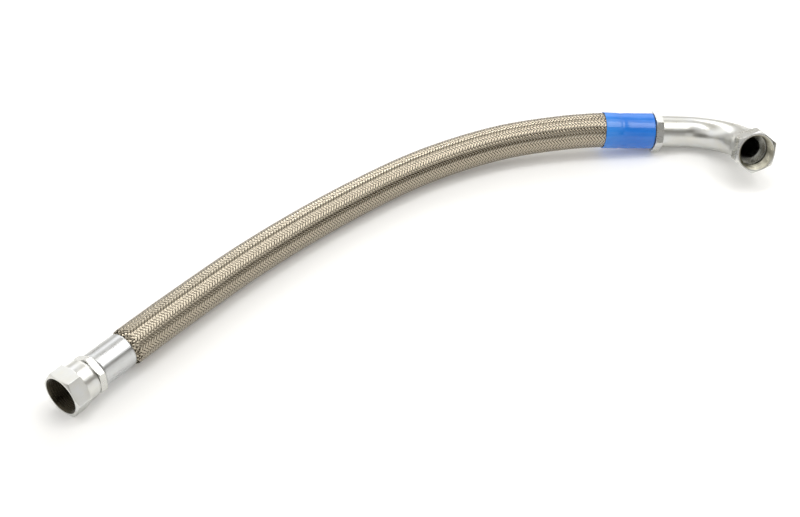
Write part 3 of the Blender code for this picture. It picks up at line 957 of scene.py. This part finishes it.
def nut_rows(settings):
    """Rows of a nut from its front face over its outside to its thread, and the first row inside."""
    angles = hexagon_angles()
    flats = settings.nut_across_flats / MM
    hexagon = hexagon_radius(angles, flats)
    corner = flats / math.sqrt(3)
    chamfer = (corner - NUT_FACE_RADIUS) * CHAMFER_SLOPE
    mouth = THREAD_RADIUS + THREAD_LEAD_IN
    outline = [
        (mouth, 0),
        (NUT_FACE_RADIUS, 0),
        (corner, chamfer),
        (corner, NUT_HEX_LENGTH - chamfer),
        (NUT_FACE_RADIUS, NUT_HEX_LENGTH),
        (NUT_NECK_RADIUS, NUT_HEX_LENGTH),
        (NUT_NECK_RADIUS, NUT_LENGTH - NUT_NECK_TAPER),
        (NUT_NECK_RADIUS - NUT_NECK_TAPER / 2, NUT_LENGTH),
        (LIP_RADIUS, NUT_LENGTH),
        (LIP_RADIUS, NUT_LIP_FRONT),
        (RELIEF_RADIUS, NUT_LIP_FRONT),
        (RELIEF_RADIUS, RELIEF_FRONT),
    ]
    body = spread(rounded(outline, size=0.35), step=0.25)
    body = body[nearest(body, mouth, 0) : nearest(body, RELIEF_RADIUS, RELIEF_FRONT) + 1]
    rows = [(soft_min(at.x, hexagon, reach=0.3), at.y) for at in body]
    inside = next(i for i, at in enumerate(body) if at.x <= LIP_RADIUS + TOLERANCE)
    pitch = settings.thread_pitch / MM
    for depth in np.arange(RELIEF_FRONT - THREAD_MARGIN, THREAD_MARGIN, -pitch / THREAD_STEPS):
        turn = np.mod(depth / pitch - angles / math.tau, 1.0)
        cut = np.clip(THREAD_SIDE * np.abs(turn - 0.5) - THREAD_CREST, 0, 1) * settings.thread_depth / MM
        run_out = THREAD_RADIUS + (depth - THREAD_LENGTH) * THREAD_RUN_OUT_SLOPE
        radius = np.maximum(THREAD_RADIUS + cut, min(run_out, RELIEF_RADIUS))
        rows.append((np.maximum(radius, mouth - depth), depth))
    return rows, angles, inside


class SUPPLY_OT_nuts(bpy.types.Operator):
    """Makes both swivel nuts: chamfered hexagon, round neck, threaded mouth and lip"""

    bl_idname = "supply.nuts"
    bl_label = "Swivel nuts"

    def execute(self, context):
        settings = context.scene.supply_fittings
        zinc, warm = settings.zinc, settings.zinc_warm
        rows, angles, inside = nut_rows(settings)
        finish = zinc_finish("straight_nut_zinc", zinc, warm, stretch=(1, 1, 0.2), smooth=0.26, rough=0.40)
        nut = turned("straight_nut", rows, angles, straight_frame())
        ride(nut, "straight_nut", "straight_nut_zinc", finish, "straight_swivel_nut")
        # Near-black thread: painted shade inside the straight nut's mouth
        thread = thread_finish("painted_shade_thread", settings.thread, wear=2.2)
        line_nut_mouth(nut, thread, inside * len(angles))

        dull, dull_warm = toned(zinc, share=0.86), toned(warm, share=0.86)
        finish = zinc_finish("elbow_nut_zinc", dull_warm, dull, stretch=(1, 1, 0.2), smooth=0.22, rough=0.36)
        place, axis = swivel_joint("elbow_nut_swivel")
        nut = turned("elbow_nut", rows, angles, placement(place, axis, ELBOW_NUT_TURN))
        ride(nut, "elbow_nut", "elbow_nut_zinc", finish, "elbow_swivel_nut")
        # Pale cream thread: painted light inside the elbow nut's mouth
        thread = thread_finish("painted_light_thread", settings.thread_painted_light, wear=1.4)
        line_nut_mouth(nut, thread, inside * len(angles))
        return {"FINISHED"}


def seat_outline():
    """Front of a stem behind the nut's face: first its outer side, then the flare seat and its bore."""
    rim = NOSE_RADIUS - NOSE_RIM
    throat = NOSE_FRONT + (rim - SEAT_RADIUS) / SEAT_SLOPE
    outer = [
        (NOSE_RADIUS, NOSE_FRONT),
        (NOSE_RADIUS, HEAD_FRONT),
        (HEAD_RADIUS, HEAD_FRONT),
        (HEAD_RADIUS, HEAD_BACK),
        (SHANK_RADIUS, HEAD_BACK),
    ]
    return outer, [(SEAT_RADIUS, throat), (rim, NOSE_FRONT)]


def collar_outline(flats, front, back):
    corner = flats / math.sqrt(3)
    low = corner - COLLAR_CHAMFER / CHAMFER_SLOPE
    return [(low, front), (corner, front + COLLAR_CHAMFER), (corner, back - COLLAR_CHAMFER), (low, back)]


def tail_outline(back):
    """Hose tail behind a collar: lock groove, lock ring, barbs and the end of the bore."""
    outline = [
        (GROOVE_RADIUS, back),
        (GROOVE_RADIUS, back + LOCK_RING_FRONT),
        (LOCK_RING_RADIUS, back + LOCK_RING_FRONT),
        (LOCK_RING_RADIUS, back + LOCK_RING_BACK),
        (TAIL_RADIUS, back + LOCK_RING_BACK),
    ]
    pitch = (TAIL_END - LOCK_RING_BACK) / BARB_COUNT
    for i in range(BARB_COUNT):
        top = back + LOCK_RING_BACK + (i + 0.5) * pitch
        outline += [(TAIL_RADIUS, top), (BARB_RADIUS, top), (TAIL_RADIUS, top + pitch / 2)]
    return [*outline, (TAIL_BORE_RADIUS, back + TAIL_END)]


def turned_stem(name, outline, flats, turn, matrix):
    """Piece turned from an outline, and cut to a hexagon where it has flats."""
    angles = hexagon_angles(turn)
    hexagon = hexagon_radius(angles, flats, turn) if flats else np.full(len(angles), np.inf)
    points = spread(rounded(outline, size=0.25), step=0.4)
    rows = [(soft_min(at.x, hexagon, reach=0.25), at.y) for at in points]
    return turned(name, rows, angles, matrix)


class SUPPLY_OT_stems(bpy.types.Operator):
    """Makes the straight stem, the elbow stem and the nose at the bent tube's end"""

    bl_idname = "supply.stems"
    bl_label = "Stems and nose"

    def execute(self, context):
        settings = context.scene.supply_fittings
        zinc, warm = settings.zinc, settings.zinc_warm
        stretch = (1, 1, 0.3)
        outer, seat = seat_outline()
        front = SHANK_BACK - STRAIGHT_COLLAR_FORWARD
        outline = [*outer, (SHANK_RADIUS, front)]
        outline += collar_outline(STRAIGHT_COLLAR_FLATS, front, STRAIGHT_COLLAR_BACK)
        outline += [*tail_outline(STRAIGHT_COLLAR_BACK), (TAIL_BORE_RADIUS, STRAIGHT_COLLAR_BACK)]
        outline += [(SEAT_RADIUS, STRAIGHT_COLLAR_BACK), *seat]
        finish = zinc_finish("straight_stem_zinc", warm, zinc, stretch, smooth=0.20, rough=0.32)
        stem = turned_stem(
            "straight_flare_stem", outline, STRAIGHT_COLLAR_FLATS, STRAIGHT_COLLAR_TURN, straight_frame()
        )
        ride(stem, "line", "straight_stem_zinc", finish, "straight_stem")

        front = -ELBOW_COLLAR_LENGTH
        outline = [*collar_outline(ELBOW_COLLAR_FLATS, front, 0), *tail_outline(0)]
        outline += [(TAIL_BORE_RADIUS, front + SOCKET_DEPTH), (SOCKET_RADIUS, front + SOCKET_DEPTH)]
        outline += [(SOCKET_RADIUS, front)]
        finish = zinc_finish("elbow_stem_zinc", warm, zinc, stretch, smooth=0.22, rough=0.34)
        stem = turned_stem("elbow_socket_stem", outline, ELBOW_COLLAR_FLATS, 0.0, elbow_frame())
        ride(stem, "line", "elbow_stem_zinc", finish, "elbow_stem")

        back = SHANK_BACK + SPIGOT_LENGTH
        outline = [*outer, (SHANK_RADIUS, SHANK_BACK), (SPIGOT_RADIUS, SHANK_BACK)]
        outline += [(SPIGOT_RADIUS, back), (SEAT_RADIUS, back), *seat]
        finish = zinc_finish("elbow_nose_zinc", warm, zinc, stretch, smooth=0.20, rough=0.32)
        nose = turned_stem("elbow_flare_nose", outline, None, 0.0, outlet_frame())
        ride(nose, "line", "elbow_nose_zinc", finish, "elbow_nose")
        return {"FINISHED"}


def crimped_ferrule(name, settings, matrix, back):
    """Ferrule behind a collar's back, with flats that fade out towards its ends."""
    outline = [
        (FERRULE_RADIUS - FERRULE_CHAMFER, COLLAR_GAP),
        (FERRULE_RADIUS, COLLAR_GAP + FERRULE_CHAMFER),
        (FERRULE_RADIUS, FERRULE_MOUTH - FERRULE_CHAMFER),
        (FERRULE_RADIUS - FERRULE_CHAMFER, FERRULE_MOUTH),
        (FERRULE_BORE_RADIUS, FERRULE_MOUTH),
        (FERRULE_BORE_RADIUS, FLANGE_BACK),
        (FLANGE_RADIUS, FLANGE_BACK),
        (FLANGE_RADIUS, COLLAR_GAP),
    ]
    angles = circle(2 * TUBE_SIDES)
    flats = (0.5 - 0.5 * np.cos(settings.crimp_dies * angles)) * settings.crimp_depth / MM
    rows = []
    for at in spread(rounded(outline, FERRULE_ROUNDING), step=0.8):
        inside = min(at.y - COLLAR_GAP, FERRULE_MOUTH - at.y) / CRIMP_FADE
        outer = at.x > FERRULE_BORE_RADIUS + FERRULE_ROUNDING
        share = max(0.0, min(1.0, inside)) if outer else 0.0
        rows.append((at.x - flats * share, at.y + back))
    return turned(name, rows, angles, matrix)


class SUPPLY_OT_ferrules(bpy.types.Operator):
    """Makes both crimped ferrules"""

    bl_idname = "supply.ferrules"
    bl_label = "Ferrules"

    def execute(self, context):
        settings = context.scene.supply_fittings
        drawn = toned(settings.zinc, share=0.80)
        clean = toned(settings.zinc, share=0.92)
        finish = zinc_finish("ferrule_zinc", drawn, clean, stretch=(1, 1, 0.03), smooth=0.22, rough=0.38)
        ends = (
            ("straight_crimp_ferrule", straight_frame(), STRAIGHT_COLLAR_BACK, "straight_ferrule"),
            ("elbow_crimp_ferrule", elbow_frame(), 0.0, "elbow_ferrule"),
        )
        for name, matrix, back, node in ends:
            piece = crimped_ferrule(name, settings, matrix, back)
            ride(piece, "line", "ferrule_zinc", finish, node)
        return {"FINISHED"}


def film_dip(angles, depth):
    """How far the film lies in at a depth: over the ferrule and its end, and in slight waves all over."""
    past = (depth - FERRULE_MOUTH + FILM_END_LEAD) / FILM_END_REACH
    over_end = FILM_END_DIP * math.exp(-(past**2))
    on_ferrule = FILM_FERRULE_DIP if depth < FERRULE_MOUTH else 0.0
    waves = 0.0
    for count, height, twist, start in FILM_WAVES:
        waves = waves + height * np.sin(count * angles + depth * twist + start)
    return over_end + on_ferrule + FILM_DIP + waves


class SUPPLY_OT_sleeve(bpy.types.Operator):
    """Makes the blank blue sleeve on the elbow end"""

    bl_idname = "supply.sleeve"
    bl_label = "Sleeve"

    def execute(self, context):
        settings = context.scene.supply_fittings
        step = FERRULE_MOUTH + SLEEVE_STEP_GAP
        outline = [
            (SLEEVE_RADIUS, COLLAR_GAP),
            (SLEEVE_RADIUS, SLEEVE_BACK),
            (SLEEVE_ON_BRAID, SLEEVE_BACK),
            (SLEEVE_ON_BRAID, step),
            (SLEEVE_ON_FERRULE, step),
            (SLEEVE_ON_FERRULE, COLLAR_GAP),
        ]
        angles = circle(2 * TUBE_SIDES)
        rows = []
        for at in spread(rounded(outline, SLEEVE_ROUNDING), step=0.6):
            outer = at.x > SLEEVE_ON_BRAID + SLEEVE_ROUNDING
            rows.append((at.x - film_dip(angles, at.y) if outer else at.x, at.y))
        film = turned("blue_sleeve", rows, angles, elbow_frame())
        finish = plastic_finish("sleeve_blue", settings.sleeve, settings.sleeve_pale)
        ride(film, "line", "sleeve_blue", finish, "id_sleeve")
        return {"FINISHED"}


class SUPPLY_OT_tube(bpy.types.Operator):
    """Makes the bent tube between the elbow stem and its nose"""

    bl_idname = "supply.tube"
    bl_label = "Bent tube"

    def execute(self, context):
        settings = context.scene.supply_fittings
        outlet = np.array((math.sin(ELBOW_ROLL), math.cos(ELBOW_ROLL), 0.0))
        ahead = np.array((0.0, 0.0, 1.0))
        lead = ELBOW_COLLAR_LENGTH + TUBE_LEAD
        centres = [ahead * depth for depth in np.linspace(TUBE_START, lead, LEAD_STEPS)[:-1]]
        ways = [ahead] * len(centres)
        for turn in np.linspace(0, math.pi / 2, BEND_STEPS + 1):
            bent = math.sin(turn) * ahead + (1 - math.cos(turn)) * outlet
            centres.append(ahead * lead + TUBE_BEND_RADIUS * bent)
            ways.append(math.cos(turn) * ahead + math.sin(turn) * outlet)
        centres.append(centres[-1] + outlet * TUBE_OUTLET)
        ways.append(outlet)
        centres, ways = np.array(centres), np.array(ways)
        across = np.broadcast_to(np.cross(ahead, outlet), ways.shape)
        ring = rings(circle(TUBE_SIDES), across, np.cross(ways, across))
        outer = centres[:, None] + ring * TUBE_RADIUS
        inner = centres[:, None] + ring * (TUBE_RADIUS - TUBE_WALL)
        tube = skin("swept_tube", np.concatenate([outer, inner[::-1]])[:, ::-1] * MM, elbow_frame())
        drawn, clean = toned(settings.zinc_warm, share=0.88), toned(settings.zinc, share=0.88)
        finish = zinc_finish("elbow_tube_zinc", drawn, clean, stretch=(1, 1, 1), smooth=0.26, rough=0.36)
        ride(tube, "line", "elbow_tube_zinc", finish, "elbow_tube")
        return {"FINISHED"}


class SUPPLY_PT_panel(bpy.types.Panel):
    """Lists the settings and the pieces"""

    bl_idname = "SUPPLY_PT_panel"
    bl_label = "Supply line"
    bl_space_type = "VIEW_3D"
    bl_region_type = "UI"
    bl_category = "Supply line"

    def draw(self, context):
        for group in (context.scene.supply_stage, context.scene.supply_hose, context.scene.supply_fittings):
            box = self.layout.box()
            for name in group.bl_rna.properties.keys():
                if name not in ("rna_type", "name"):
                    box.prop(group, name)
        for operator in OPERATORS:
            self.layout.operator(operator.bl_idname)


OPERATORS = (
    SUPPLY_OT_stage,
    SUPPLY_OT_hose,
    SUPPLY_OT_nuts,
    SUPPLY_OT_stems,
    SUPPLY_OT_ferrules,
    SUPPLY_OT_sleeve,
    SUPPLY_OT_tube,
)
CLASSES = (HoseSettings, FittingSettings, StageSettings, *OPERATORS, SUPPLY_PT_panel)


def register():
    for kind in CLASSES:
        bpy.utils.register_class(kind)
    bpy.types.Scene.supply_hose = PointerProperty(type=HoseSettings)
    bpy.types.Scene.supply_fittings = PointerProperty(type=FittingSettings)
    bpy.types.Scene.supply_stage = PointerProperty(type=StageSettings)


def unregister():
    del bpy.types.Scene.supply_stage
    del bpy.types.Scene.supply_fittings
    del bpy.types.Scene.supply_hose
    for kind in reversed(CLASSES):
        bpy.utils.unregister_class(kind)


def main():
    register()
    bpy.ops.supply.stage()
    bpy.ops.supply.hose()
    bpy.ops.supply.nuts()
    bpy.ops.supply.stems()
    bpy.ops.supply.ferrules()
    bpy.ops.supply.sleeve()
    bpy.ops.supply.tube()


if __name__ == "__main__":
    main()
